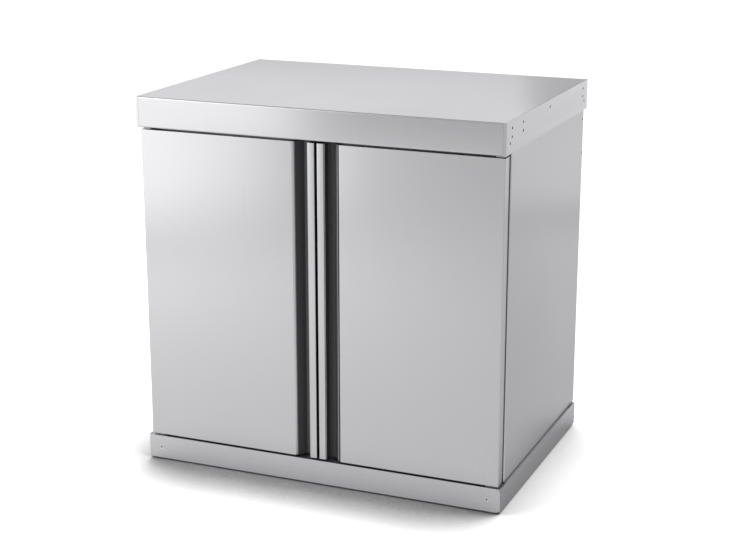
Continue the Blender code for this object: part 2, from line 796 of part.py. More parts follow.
def door_strike(name, side, axis):
    half = catch_width / 2 - strike_margin
    top = catch_top() - strike_margin
    low = catch_top() - catch_height + strike_margin
    middle = side * catch_from_middle
    mesh = bmesh.new()
    add_prism(mesh, rounded_rectangle((middle - half, low), (middle + half, top),
                                      (strike_corner,) * 4), "Y",
              liner_back + seat_gap, liner_back + seat_gap + strike_thickness)
    make_object(name + "_door_strike", mesh, plain_steel, axis.location, axis)


def doors():
    for name, side in sides:
        axis = axis_empty(name + "_door_axis", Vector((side * hinge_x, hinge_y, door_bottom)))
        bpy.context.view_layer.update()
        door_skin(name, side, axis)
        door_liner(name, side, axis)
        groove_lining(name, side, axis)
        door_bush_pair(name, side, axis)
        door_strike(name, side, axis)


# Hinges

def upper_leaf_bottom():
    return door_top + hinge_upper_drop


def lower_screw_x():
    return hinge_x - hinge_lower_screw_reach


def hinge_upper_brackets():
    low = upper_leaf_bottom()
    leg_back = body_front - seat_gap
    path = [(hinge_y - hinge_leaf_front, low), (leg_back, low), (leg_back, low + hinge_leg_height)]
    outline = folded_outline(path, hinge_plate, hinge_plate_bend)
    for name, side in sides:
        mesh = bmesh.new()
        middle = side * hinge_x
        add_prism(mesh, outline, "X", middle - hinge_plate_width / 2, middle + hinge_plate_width / 2)
        bracket = make_object("hinge_upper_bracket_" + name, mesh, plain_steel)
        screws = bmesh.new()
        for z in (hinge_screw_low, hinge_screw_high):
            add_pan_screw(screws, Vector((middle, leg_back - hinge_plate, low + z)), (0, -1, 0),
                          -weld_depth)
        combine(bracket, screws, "screws", "UNION")
        drill(bracket, [(Vector((middle, hinge_y, low + hinge_plate / 2)), (0, 0, 1),
                         pin_shank_radius + seat_gap, hinge_plate)])


def hinge_lower_brackets():
    low = frame_top + seat_gap
    back = inner_front - seat_gap - panel_sheet
    front = hinge_y - hinge_leaf_front
    for name, side in sides:
        outer = hinge_x + hinge_plate_width / 2
        outline = rounded_rectangle((outer - hinge_lower_width, front), (outer, back),
                                    (hinge_leaf_corner,) * 4)
        mesh = bmesh.new()
        add_prism(mesh, outline if side > 0 else mirrored(outline), "Z", low, low + hinge_plate)
        bracket = make_object("hinge_lower_bracket_" + name, mesh, plain_steel)
        screw = bmesh.new()
        add_pan_screw(screw, Vector((side * lower_screw_x(), hinge_y, low + hinge_plate)), (0, 0, 1),
                      -weld_depth)
        combine(bracket, screw, "screw", "UNION")
        drill(bracket, [(Vector((side * hinge_x, hinge_y, low + hinge_plate / 2)), (0, 0, 1),
                         pin_shank_radius + seat_gap, hinge_plate)])


def add_hinge_pin(mesh, place, leaf, way):
    # A pin riveted into its leaf, with a collar that carries the door. Heights run into the door.
    plate_far = leaf - hinge_plate
    profile = [(0, plate_far), (pin_shank_radius, plate_far), (pin_shank_radius, leaf + seat_gap),
               (pin_collar_radius, leaf + seat_gap), (pin_collar_radius, -seat_gap),
               (pin_radius, -seat_gap), (pin_radius, pin_reach - pin_tip),
               (pin_radius - pin_tip, pin_reach), (0, pin_reach)]
    add_turned(mesh, profile, place, (0, 0, way))


def hinge_pins():
    lower_leaf = frame_top + seat_gap + hinge_plate - door_bottom
    upper_leaf = -hinge_upper_drop
    for name, side in sides:
        mesh = bmesh.new()
        add_hinge_pin(mesh, Vector((side * hinge_x, hinge_y, door_bottom)), lower_leaf, 1)
        make_object("hinge_lower_pin_" + name, mesh, plain_steel, (side * hinge_x, hinge_y, door_bottom))
        mesh = bmesh.new()
        add_hinge_pin(mesh, Vector((side * hinge_x, hinge_y, door_top)), upper_leaf, -1)
        make_object("hinge_upper_pin_" + name, mesh, plain_steel, (side * hinge_x, hinge_y, door_top))


# Small pieces

def add_pan_screw(mesh, seat, way, under_head):
    # A screw whose head starts at the given height over its seat.
    head = under_head + screw_head_height
    profile = [(0, head - screw_socket_depth), (screw_socket_radius, head - screw_socket_depth),
               (screw_socket_radius, head), (screw_head_radius - screw_head_edge, head),
               (screw_head_radius, head - screw_head_edge), (screw_head_radius, under_head),
               (screw_radius, under_head), (screw_radius, -screw_length), (0, -screw_length)]
    add_turned(mesh, profile, seat, way, screw_steps)


def catches():
    # A nylon housing under the front rail, with its front face recessed inside a rim.
    front = liner_back + seat_gap + strike_thickness + seat_gap
    top = catch_top()
    for name, side in sides:
        middle = side * catch_from_middle
        mesh = bmesh.new()
        outline = rounded_rectangle((middle - catch_width / 2, top - catch_height),
                                    (middle + catch_width / 2, top), (catch_edge,) * 4)
        add_prism(mesh, outline, "Y", front + catch_depth, front)
        bmesh.ops.recalc_face_normals(mesh, faces=mesh.faces)
        face = min(mesh.faces, key=lambda each: each.calc_center_median().y)
        bmesh.ops.inset_region(mesh, faces=[face], thickness=catch_rim)
        bmesh.ops.translate(mesh, vec=(0, catch_recess, 0), verts=face.verts)
        make_object("magnetic_catch_" + name, mesh, black_nylon)


def door_buffers():
    thickness = inner_front - liner_back - 2 * seat_gap
    profile = [(0, 0), (buffer_radius, 0), (buffer_radius, thickness - buffer_edge),
               (buffer_radius - buffer_edge, thickness), (0, thickness)]
    for name, side in sides:
        place = Vector((side * buffer_from_middle, inner_front - seat_gap,
                        floor_height - buffer_below_floor))
        mesh = bmesh.new()
        add_turned(mesh, profile, place, (0, -1, 0), hole_steps)
        make_object("door_buffer_" + name, mesh, black_rubber, place)


def clear_scene():
    for each in list(bpy.data.objects):
        bpy.data.objects.remove(each, do_unlink=True)


def build_cabinet():
    clear_scene()
    worktop()
    worktop_end_plates()
    worktop_stiffeners()
    side_panels()
    back_panel()
    top_rails()
    floor_panel()
    shelf()
    frame_channels()
    frame_corners()
    plinth_plates()
    plinth_screws()
    levelling_feet()
    doors()
    hinge_upper_brackets()
    hinge_lower_brackets()
    hinge_pins()
    catches()
    door_buffers()


build_cabinet()
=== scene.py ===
import math

import bmesh
import bpy
from mathutils import Matrix, Vector


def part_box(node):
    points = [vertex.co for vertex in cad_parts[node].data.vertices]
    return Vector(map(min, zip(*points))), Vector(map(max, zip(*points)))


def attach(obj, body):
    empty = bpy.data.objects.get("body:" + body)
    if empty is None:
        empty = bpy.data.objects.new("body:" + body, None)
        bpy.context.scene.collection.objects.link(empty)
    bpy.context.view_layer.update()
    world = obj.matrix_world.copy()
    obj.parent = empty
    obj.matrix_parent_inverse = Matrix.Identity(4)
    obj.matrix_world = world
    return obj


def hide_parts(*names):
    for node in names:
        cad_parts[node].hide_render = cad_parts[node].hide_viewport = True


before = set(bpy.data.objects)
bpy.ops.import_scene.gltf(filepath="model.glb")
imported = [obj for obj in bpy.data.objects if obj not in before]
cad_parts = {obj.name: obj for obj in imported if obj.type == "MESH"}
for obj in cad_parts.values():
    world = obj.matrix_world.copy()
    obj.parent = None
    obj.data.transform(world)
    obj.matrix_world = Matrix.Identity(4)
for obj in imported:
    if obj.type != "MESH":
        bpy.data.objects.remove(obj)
scene = bpy.context.scene
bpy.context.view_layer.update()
sides = (("left", -1), ("right", 1))
print("frame loaded:", len(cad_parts), "nodes")


# Small helpers for nodes and colours

def linearColour(hexValue):
    channels = [int(hexValue[i:i + 2], 16) / 255 for i in (1, 3, 5)]
    return [c / 12.92 if c <= 0.04045 else ((c + 0.055) / 1.055) ** 2.4 for c in channels] + [1]


def addNode(tree, kind, settings=None, links=None):
    # settings go to a property where the node has one, and otherwise to the input of that name
    node = tree.nodes.new("ShaderNode" + kind)
    for name, value in (settings or {}).items():
        if isinstance(name, str) and hasattr(node, name):
            setattr(node, name, value)
        else:
            node.inputs[name].default_value = value
    for name, socket in (links or {}).items():
        tree.links.new(socket, node.inputs[name])
    return node


def startMaterial(name):
    material = bpy.data.materials.new(name)
    material.use_nodes = True
    tree = material.node_tree
    shader = tree.nodes["Principled BSDF"]
    place = addNode(tree, "TexCoord").outputs["Object"]
    return material, tree, shader, place


# Brushed sheet: AISI 304, belt-brushed with 320 grit, a satin grey that smears what it mirrors across the
# grain. The scratches are about 0.1 mm apart, too fine to show here, so the bands drawn are 1.5 mm wide and
# some 200 mm long.

brushedSheet = {
    "colour": "#a1a1a2",
    "darkColour": "#9c9c9e",
    "edgeColour": "#e3e3e4",
    "roughness": 0.25,
    "roughnessSpread": 0.03,
    "anisotropy": 0.65,
    "anisotropyTurn": 0.25,
    "bandWidth": 0.0015,
    "bandLength": 0.200,
    "bandDetail": 3.0,
    "bandContrast": 0.6,
    "cloudSize": 0.350,
    "cloudDetail": 1.5,
    "noiseRange": (0.6, 1.4),
    "bumpDepth": 0.000002,
}


def brushedStainless(name, grain, look=brushedSheet):
    # grain is the axis, 0 to 2, along which the sheet was brushed
    material, tree, shader, place = startMaterial(name)
    stretch = [1 / look["bandWidth"]] * 3
    stretch[grain] = 1 / look["bandLength"]
    bands = addNode(tree, "Mapping", {"Scale": stretch}, {"Vector": place})
    scratches = addNode(tree, "TexNoise", {"Scale": 1.0, "Detail": look["bandDetail"],
                                           "Roughness": look["bandContrast"]}, {"Vector": bands.outputs[0]})
    clouds = addNode(tree, "TexNoise", {"Scale": 1 / look["cloudSize"], "Detail": look["cloudDetail"]},
                     {"Vector": place})
    both = addNode(tree, "Math", {"operation": "ADD"},
                   {0: scratches.outputs["Fac"], 1: clouds.outputs["Fac"]})
    low, high = look["noiseRange"]
    rough = addNode(tree, "MapRange", {"From Min": low, "From Max": high,
                                       "To Min": look["roughness"] - look["roughnessSpread"],
                                       "To Max": look["roughness"] + look["roughnessSpread"]},
                    {"Value": both.outputs[0]})
    tint = addNode(tree, "Mix", {"data_type": "RGBA"}, {0: scratches.outputs["Fac"]})
    tint.inputs[6].default_value = linearColour(look["darkColour"])
    tint.inputs[7].default_value = linearColour(look["colour"])
    bump = addNode(tree, "Bump", {"Strength": 1.0, "Distance": look["bumpDepth"]},
                   {"Height": scratches.outputs["Fac"]})
    shader.inputs["Metallic"].default_value = 1
    shader.inputs["Specular Tint"].default_value = linearColour(look["edgeColour"])
    shader.inputs["Anisotropic"].default_value = look["anisotropy"]
    shader.inputs["Anisotropic Rotation"].default_value = look["anisotropyTurn"]
    along = [0, 0, 0]
    along[grain] = 1
    tangent = addNode(tree, "CombineXYZ", {"X": along[0], "Y": along[1], "Z": along[2]})
    tree.links.new(tangent.outputs[0], shader.inputs["Tangent"])
    tree.links.new(rough.outputs[0], shader.inputs["Roughness"])
    tree.links.new(tint.outputs[2], shader.inputs["Base Color"])
    tree.links.new(bump.outputs[0], shader.inputs["Normal"])
    return material


stainlessUpright = brushedStainless("brushed_stainless_upright", 2)
stainlessAcross = brushedStainless("brushed_stainless_across", 0)
stainlessDeep = brushedStainless("brushed_stainless_deep", 1)


# Zinc-plated steel: cold-rolled and barrel-plated, dull grey with soft crystalline patches 6 mm wide.

zincPlate = {"colour": "#a9abad", "darkColour": "#8f9194", "roughness": 0.42, "smoother": 0.08,
             "rougher": 0.10, "patchSize": 0.006, "finePerPatch": 4, "fineDetail": 2.0}


def zincPlatedSteel(name, look=zincPlate):
    material, tree, shader, place = startMaterial(name)
    patches = addNode(tree, "TexVoronoi", {"Scale": 1 / look["patchSize"]}, {"Vector": place})
    fine = addNode(tree, "TexNoise", {"Scale": look["finePerPatch"] / look["patchSize"],
                                      "Detail": look["fineDetail"]}, {"Vector": place})
    blend = addNode(tree, "Math", {"operation": "MULTIPLY"},
                    {0: patches.outputs["Color"], 1: fine.outputs["Fac"]})
    tint = addNode(tree, "Mix", {"data_type": "RGBA"}, {0: blend.outputs[0]})
    tint.inputs[6].default_value = linearColour(look["darkColour"])
    tint.inputs[7].default_value = linearColour(look["colour"])
    rough = addNode(tree, "MapRange", {"To Min": look["roughness"] - look["smoother"],
                                       "To Max": look["roughness"] + look["rougher"]},
                    {"Value": fine.outputs["Fac"]})
    shader.inputs["Metallic"].default_value = 1
    tree.links.new(tint.outputs[2], shader.inputs["Base Color"])
    tree.links.new(rough.outputs[0], shader.inputs["Roughness"])
    return material


# Nylon, PVC and rubber: moulded or extruded, a dark skin whose fine grain scatters the light. The real
# grain is too fine to show here, so the one drawn is 0.8 mm wide.

mouldedPlastic = {"colour": "#2b2b2d", "paleColour": "#343436", "roughness": 0.55, "roughnessSpread": 0.08,
                  "grainSize": 0.0008, "grainDetail": 2.0, "grainDepth": 0.00003, "grainStrength": 0.4}


def mouldedSkin(name, look=mouldedPlastic):
    material, tree, shader, place = startMaterial(name)
    grain = addNode(tree, "TexNoise", {"Scale": 1 / look["grainSize"], "Detail": look["grainDetail"]},
                    {"Vector": place})
    tint = addNode(tree, "Mix", {"data_type": "RGBA"}, {0: grain.outputs["Fac"]})
    tint.inputs[6].default_value = linearColour(look["colour"])
    tint.inputs[7].default_value = linearColour(look["paleColour"])
    rough = addNode(tree, "MapRange", {"To Min": look["roughness"] - look["roughnessSpread"],
                                       "To Max": look["roughness"] + look["roughnessSpread"]},
                    {"Value": grain.outputs["Fac"]})
    bump = addNode(tree, "Bump", {"Strength": look["grainStrength"], "Distance": look["grainDepth"]},
                   {"Height": grain.outputs["Fac"]})
    tree.links.new(tint.outputs[2], shader.inputs["Base Color"])
    tree.links.new(rough.outputs[0], shader.inputs["Roughness"])
    tree.links.new(bump.outputs[0], shader.inputs["Normal"])
    return material


zincSheet = zincPlatedSteel("zinc_plated_sheet")
brightZinc = zincPlatedSteel("bright_zinc_plated_steel", {**zincPlate, "colour": "#bfc1c4",
                                                         "darkColour": "#a3a6aa", "roughness": 0.28,
                                                         "patchSize": 0.003})
blackNylon = mouldedSkin("moulded_black_nylon")
darkLining = mouldedSkin("extruded_dark_pvc", {**mouldedPlastic, "colour": "#454547",
                                               "paleColour": "#4c4c4e"})
blackRubber = mouldedSkin("moulded_black_rubber", {**mouldedPlastic, "colour": "#1c1c1d",
                                                   "paleColour": "#242425", "roughness": 0.75})
print("materials made")


# Folding, drilling and finishing. Lengths are in metres and places in the cabinet's own frame.

shop = {"edge": 0.00015, "screwEdge": 0.00008, "roundEdge": 0.0004, "edgeSteps": 2, "edgeAngle": 35,
        "bendSteps": 8, "cornerSteps": 12, "holeSteps": 32, "overrun": 0.004, "reliefShare": 2.8,
        "gap": 0.0003, "mergeWithin": 1e-6}
upright, across, deep = 2, 0, 1


def inSpace(axis, pair, along):
    spots = list(pair)
    spots.insert(axis, along)
    return Vector(spots)


def movedVerts(grown):
    return [item for item in grown["geom"] if isinstance(item, bmesh.types.BMVert)]


def standing(place, way):
    # the move that takes what stands at the origin to its place, with its top along the way
    turn = Vector((0, 0, 1)).rotation_difference(Vector(way)).to_matrix().to_4x4()
    return Matrix.Translation(place) @ turn


def roundCorners(mesh, tips, radius):
    bmesh.ops.bevel(mesh, geom=tips, offset=radius, offset_type="OFFSET", segments=shop["cornerSteps"],
                    profile=0.5, affect="VERTICES", material=-1)


def foldEdges(mesh, folds):
    for fold, reach in folds:
        bmesh.ops.bevel(mesh, geom=[fold], offset=reach, offset_type="OFFSET", segments=shop["bendSteps"],
                        profile=0.5, affect="EDGES", material=-1)


def foldedSheet(path, axis, start, end, sheet, bend, corner=0):
    # one sheet folded along the axis: its outer face follows the path, and the sheet lies to its left
    mesh = bmesh.new()
    chain = [mesh.verts.new(inSpace(axis, pair, start)) for pair in path]
    line = [mesh.edges.new(pair) for pair in zip(chain, chain[1:])]
    grown = bmesh.ops.extrude_edge_only(mesh, edges=line)
    bmesh.ops.translate(mesh, vec=inSpace(axis, (0, 0), end - start), verts=movedVerts(grown))
    bmesh.ops.recalc_face_normals(mesh, faces=mesh.faces)
    first = Vector(path[1]) - Vector(path[0])
    if chain[0].link_faces[0].normal.dot(inSpace(axis, (-first.y, first.x), 0)) > 0:
        bmesh.ops.reverse_faces(mesh, faces=mesh.faces)
    folds = []
    for index in range(1, len(path) - 1):
        arriving = (Vector(path[index]) - Vector(path[index - 1])).normalized()
        leaving = (Vector(path[index + 1]) - Vector(path[index])).normalized()
        turn = math.atan2(arriving.x * leaving.y - arriving.y * leaving.x, arriving.dot(leaving))
        radius = bend + (sheet if turn > 0 else 0)
        fold = next(edge for edge in chain[index].link_edges
                    if abs(edge.verts[0].co[axis] - edge.verts[1].co[axis]) > sheet)
        folds.append((fold, radius * math.tan(abs(turn) / 2)))
    if corner:  # the four free corners are rounded, as on a hinge leaf
        roundCorners(mesh, [vert for vert in mesh.verts if len(vert.link_faces) == 1], corner)
    foldEdges(mesh, folds)
    return mesh


def otherHand(path):
    return [(-first, second) for first, second in path[::-1]]


def foldedTray(corner, width, height, outward, edges, sheet, bend):
    # a plate with folded edges, named low, end, high and start: each has a depth, a lip and two insets
    mesh = bmesh.new()
    right, up = width.normalized(), height.normalized()
    relief = shop["reliefShare"] * (bend + sheet)
    order = ("low", "end", "high", "start")
    places = {"low": (corner, right, width.length, up),
              "end": (corner + width, up, height.length, -right),
              "high": (corner + width + height, -right, width.length, -up),
              "start": (corner + height, -up, height.length, right)}
    rim, folds = [], []
    for index, name in enumerate(order):
        origin, along, length, _ = places[name]
        notched = name in edges and order[index - 1] in edges
        rim.append(mesh.verts.new(origin + along * relief * notched))
        if name not in edges:
            continue
        first = rim[-1]
        _, _, startInset, endInset = edges[name]
        if startInset:
            first = mesh.verts.new(origin + along * startInset)
            rim.append(first)
        ending = endInset or (relief if order[(index + 1) % 4] in edges else 0)
        if ending:
            rim.append(mesh.verts.new(origin + along * (length - ending)))
        folds.append((name, first, rim[-1] if ending else None))
    mesh.faces.new(rim)
    bends = []
    for name, first, second in folds:
        _, along, _, inward = places[name]
        depth, lip, _, _ = edges[name]
        edge = mesh.edges.get((first, second or rim[(rim.index(first) + 1) % len(rim)]))
        for step in (-outward * depth, inward * lip):
            if step.length == 0:
                continue
            bends.append((edge, bend + sheet))
            tips = movedVerts(bmesh.ops.extrude_edge_only(mesh, edges=[edge]))
            bmesh.ops.translate(mesh, vec=step, verts=tips)
            edge = mesh.edges.get(tips)
        if lip:  # mitred, so that neighbouring lips don't meet
            middle = (tips[0].co + tips[1].co) / 2
            for tip in tips:
                tip.co += along * lip * (1 if (middle - tip.co).dot(along) > 0 else -1)
    bmesh.ops.recalc_face_normals(mesh, faces=mesh.faces)
    mesh.faces.ensure_lookup_table()
    if mesh.faces[0].normal.dot(outward) < 0:
        bmesh.ops.reverse_faces(mesh, faces=mesh.faces)
    foldEdges(mesh, bends)
    return mesh


def flatPlate(axis, low, high, inner, outer, radii=(0, 0, 0, 0)):
    # corners in the order low-low, high-low, high-high, low-high, each with its radius
    mesh = bmesh.new()
    spots = ((low[0], low[1]), (high[0], low[1]), (high[0], high[1]), (low[0], high[1]))
    corners = [mesh.verts.new(inSpace(axis, pair, inner)) for pair in spots]
    mesh.faces.new(corners)
    for radius in set(radii) - {0}:
        chosen = [corner for corner, own in zip(corners, radii) if own == radius]
        roundCorners(mesh, chosen, radius)
    grown = bmesh.ops.extrude_face_region(mesh, geom=mesh.faces[:])
    bmesh.ops.translate(mesh, vec=inSpace(axis, (0, 0), outer - inner), verts=movedVerts(grown))
    bmesh.ops.recalc_face_normals(mesh, faces=mesh.faces)
    return mesh


def turned(mesh, profile, place, way, steps=None):
    # a profile of radius and height spun about the way through the place
    known = set(mesh.verts)
    chain = [mesh.verts.new((radius, 0, height)) for radius, height in profile]
    edges = [mesh.edges.new(pair) for pair in zip(chain, chain[1:])]
    bmesh.ops.spin(mesh, geom=chain + edges, cent=(0, 0, 0), axis=(0, 0, 1), angle=math.tau,
                   steps=steps or shop["holeSteps"], use_merge=True)
    bmesh.ops.remove_doubles(mesh, verts=[vert for vert in mesh.verts if vert not in known],
                             dist=shop["mergeWithin"])
    made = [vert for vert in mesh.verts if vert not in known]
    bmesh.ops.recalc_face_normals(mesh, faces=list({face for vert in made for face in vert.link_faces}))
    bmesh.ops.transform(mesh, matrix=standing(place, way), verts=made)
    return mesh


def drills(holes):
    # each hole is its middle, its way, its radius and the thickness that it goes through
    mesh = bmesh.new()
    for middle, way, radius, thickness in holes:
        reach = thickness / 2 + shop["overrun"]
        turned(mesh, ((0, -reach), (radius, -reach), (radius, reach), (0, reach)), middle, way)
    return mesh


def linked(name, data):
    made = bpy.data.objects.new(name, data)
    scene.collection.objects.link(made)
    return made


def madeMesh(name, mesh):
    data = bpy.data.meshes.new(name)
    mesh.to_mesh(data)
    mesh.free()
    return data


def finishPiece(name, mesh, material, body, old=None, sheet=0, cutters=None, edge=None):
    # thickens, drills and softens a piece, settles its modifiers and puts it in the CAD node's place
    piece = linked(name, madeMesh(name, mesh))
    piece.data.shade_smooth()
    piece.data.materials.append(material)
    if sheet:
        solid = piece.modifiers.new("sheet", "SOLIDIFY")
        solid.thickness = sheet
        solid.offset = -1
        solid.use_even_offset = True
    if cutters:
        helper = linked(name + "_cutters", madeMesh(name + "_cutters", cutters))
        helper.data.shade_smooth()
        cut = piece.modifiers.new("holes", "BOOLEAN")
        cut.operation = "DIFFERENCE"
        cut.object = helper
    soft = piece.modifiers.new("edges", "BEVEL")
    soft.width = edge or shop["edge"]
    soft.segments = shop["edgeSteps"]
    soft.limit_method = "ANGLE"
    soft.angle_limit = math.radians(shop["edgeAngle"])
    soft.harden_normals = True
    finished = piece.evaluated_get(bpy.context.evaluated_depsgraph_get())
    piece.data = bpy.data.meshes.new_from_object(finished)
    piece.modifiers.clear()
    if cutters:
        bpy.data.objects.remove(helper)
    if old:
        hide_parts(old)
    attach(piece, body)
    return piece


# Screws: a pan head of 9 mm with a cross recess, or a countersunk head with a hexagon socket

panScrew = {"radius": 0.0021, "length": 0.012, "pitch": 0.0007, "threadEnd": 0.001, "neck": 0.0005,
            "headRadius": 0.0045, "headHeight": 0.0016,
            "headShape": ((1, 0), (1, 0.35), (0.96, 0.6), (0.82, 0.85), (0.55, 0.97), (0, 1)),
            "recessReach": 0.0024, "recessWidth": 0.0009, "recessDepth": 0.0011, "recessTaper": 0.55}
# the countersunk screw's last two sizes bound the painted shade in its socket, as shares of the socket's
# radius
flatScrew = {"radius": 0.0021, "length": 0.012, "pitch": 0.0007, "neck": 0.0005, "headRadius": 0.0052,
             "headDepth": 0.0024, "rim": 0.0002, "below": 0.0001, "socketRadius": 0.0024,
             "socketDepth": 0.0021, "socketTaper": (0.9, 1.1), "paintedShadeFrom": 0.1, "paintedShadeReach": 1.2}


def threadProfile(radius, low, high, pitch, tipShare=0.75, depthShare=0.55):
    # ridges and roots up a stem, from its tip
    points = [(0, low), (radius * tipShare, low)]
    turns = int((high - low) / pitch)
    for turn in range(turns):
        height = low + (turn + 0.5) * (high - low) / turns
        points += [(radius, height), (radius - pitch * depthShare, height + (high - low) / turns / 2)]
    return points


def finishScrew(name, profile, cutters, place, way, old=None):
    mesh = turned(bmesh.new(), profile, place, way)
    bmesh.ops.transform(cutters, matrix=standing(place, way), verts=cutters.verts)
    return finishPiece(name, mesh, brightZinc, "carcass", old, cutters=cutters,
                       edge=shop["screwEdge"])


def addPanScrew(name, place, way):
    size = panScrew
    head, tall = size["headRadius"], size["headHeight"]
    profile = threadProfile(size["radius"], -size["length"], -size["threadEnd"], size["pitch"])
    profile += [(size["radius"], -size["neck"]), (size["radius"], 0)]
    profile += [(head * wide, tall * high) for wide, high in size["headShape"]]
    cutters = bmesh.new()
    reach, width, depth = size["recessReach"], size["recessWidth"], size["recessDepth"]
    squared = Matrix.Rotation(math.radians(45), 3, "Z")  # sets a four-sided cone's sides square to the axes
    for scale in ((reach, width / 2, 1), (width / 2, reach, 1)):
        known = set(cutters.verts)
        bmesh.ops.create_cone(cutters, segments=4, radius1=math.sqrt(2) * size["recessTaper"],
                              radius2=math.sqrt(2), depth=depth * 2)
        made = [vert for vert in cutters.verts if vert not in known]
        bmesh.ops.rotate(cutters, verts=made, cent=(0, 0, 0), matrix=squared)
        bmesh.ops.scale(cutters, vec=scale, verts=made)
        bmesh.ops.translate(cutters, vec=(0, 0, tall), verts=made)
    finishScrew(name, profile, cutters, place, way)


def addFlatScrew(name, place, way, old):
    size = flatScrew
    under, socket = -size["headDepth"], size["socketRadius"]
    profile = threadProfile(size["radius"], -size["length"], under - size["neck"], size["pitch"])
    profile += [(size["radius"], under), (size["headRadius"], -size["rim"]), (size["headRadius"], 0), (0, 0)]
    cutters = bmesh.new()
    bottom, mouth = size["socketTaper"]
    bmesh.ops.create_cone(cutters, segments=6, radius1=socket * bottom, radius2=socket * mouth,
                          depth=size["socketDepth"] * 2, cap_ends=True)
    seat = Vector(place) - Vector(way) * size["below"]
    piece = finishScrew(name, profile, cutters, seat, way, old)
    piece.data.materials.append(blackNylon)  # painted shade: the socket's deep faces take the black nylon, dark as the shade in the socket
    for face in piece.data.polygons:
        spot = face.center - seat
        height = spot.dot(Vector(way))
        inside = (spot - Vector(way) * height).length < socket * size["paintedShadeReach"]
        if inside and -socket < height < -socket * size["paintedShadeFrom"]:
            face.material_index = 1


# Worktop: the folded sheet, brushed along its length, its two end plates with their holes, two stiffeners

worktop = {"halfDepth": 0.325, "top": 0.900, "bandBottom": 0.828, "bandReturn": 0.020, "sheet": 0.0015,
           "bend": 0.0025, "reach": 0.4482}
endPlates = {"outer": 0.450, "fold": 0.0068, "bend": 0.0010, "holeRadius": 0.0032,
             "endHoles": ((0.283, 0.883), (0.283, 0.864), (0.2955, 0.851)),
             "innerHoles": ((-0.203, 0.883), (-0.203, 0.864), (0.0, 0.883))}
stiffeners = {"half": 0.022, "flange": 0.015, "sheet": 0.0012, "bend": 0.0010}


def makeWorktop():
    size = worktop
    half, low, high = size["halfDepth"], size["bandBottom"], size["top"]
    path = [(half - size["bandReturn"], low), (half, low), (half, high), (-half, high), (-half, low),
            (-half + size["bandReturn"], low)]
    mesh = foldedSheet(path, across, -size["reach"], size["reach"], size["sheet"], size["bend"])
    notches = bmesh.new()
    start = endPlates["outer"] - endPlates["fold"] - shop["gap"]
    edge, over = half - size["sheet"] - shop["gap"], shop["overrun"]
    for side in (-1, 1):
        for end in (-1, 1):
            near, far = sorted((end * edge, end * (half + over)))
            part = flatPlate(across, (near, low - over), (far, high + over), side * start,
                             side * (size["reach"] + over))
            data = madeMesh("notch", part)
            notches.from_mesh(data)
            bpy.data.meshes.remove(data)
    finishPiece("worktopSheet", mesh, stainlessAcross, "carcass", "worktop",
                size["sheet"], notches)


def endHolePlaces():
    size = endPlates
    return [(end * y, z) for end in (-1, 1) for y, z in size["endHoles"]] + list(size["innerHoles"])


def makeEndPlates():
    # each end plate is folded round the corner at the front and the back, flush with the band
    size = endPlates
    half, low, high = worktop["halfDepth"], worktop["bandBottom"], worktop["top"]
    folded = (size["fold"], 0, 0, 0)
    for word, side in sides:
        mesh = foldedTray(Vector((side * size["outer"], -half, low)), Vector((0, 2 * half, 0)),
                          Vector((0, 0, high - low)), Vector((side, 0, 0)),
                          {"end": folded, "start": folded}, worktop["sheet"], size["bend"])
        middle = side * (size["outer"] - worktop["sheet"] / 2)
        cutters = drills([((middle, y, z), (1, 0, 0), size["holeRadius"], worktop["sheet"])
                          for y, z in endHolePlaces()])
        finishPiece(word + "EndPlate", mesh, stainlessDeep, "carcass",
                    "worktop_end_" + word, worktop["sheet"], cutters)


def makeStiffeners():
    size = stiffeners
    for word in ("front", "back"):
        low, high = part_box("worktop_stiffener_" + word)
        middle, half, reach = (low.y + high.y) / 2, size["half"], size["half"] + size["flange"]
        path = [(middle + reach, high.z), (middle + half, high.z), (middle + half, low.z),
                (middle - half, low.z), (middle - half, high.z), (middle - reach, high.z)]
        mesh = foldedSheet(path, across, low.x, high.x, size["sheet"], size["bend"])
        finishPiece(word + "Stiffener", mesh, zincSheet, "carcass",
                    "worktop_stiffener_" + word, size["sheet"])


makeWorktop()
makeEndPlates()
makeStiffeners()
print("worktop made")


# Body: two side panels with folded edges, a back held by eight screws, top rails, floor and shelf

body = {"side": 0.448, "front": -0.276, "back": 0.304, "bottom": 0.0657, "top": 0.8982, "flange": 0.025,
        "sheet": 0.0012, "bend": 0.0010, "holeRadius": 0.0030,
        "sideHoles": ((0.295, 0.805), (0.295, 0.721)), "shelfEdge": 0.025, "shelfLip": 0.012}
backScrews = {"inset": 0.012, "end": 0.080, "count": 4}
hinge = {"x": 0.4325, "y": -0.297, "screws": (0.8365, 0.8525), "leafFront": 0.010, "sheet": 0.002,
         "bend": 0.0015, "corner": 0.003, "pinHole": 0.0028, "lowerScrewX": 0.4195, "lowerDrop": 0.0025,
         "lowerCorner": 0.004}


def backScrewHeights():
    low, high = body["bottom"] + backScrews["end"], body["top"] - backScrews["end"]
    return [low + (high - low) * index / (backScrews["count"] - 1) for index in range(backScrews["count"])]


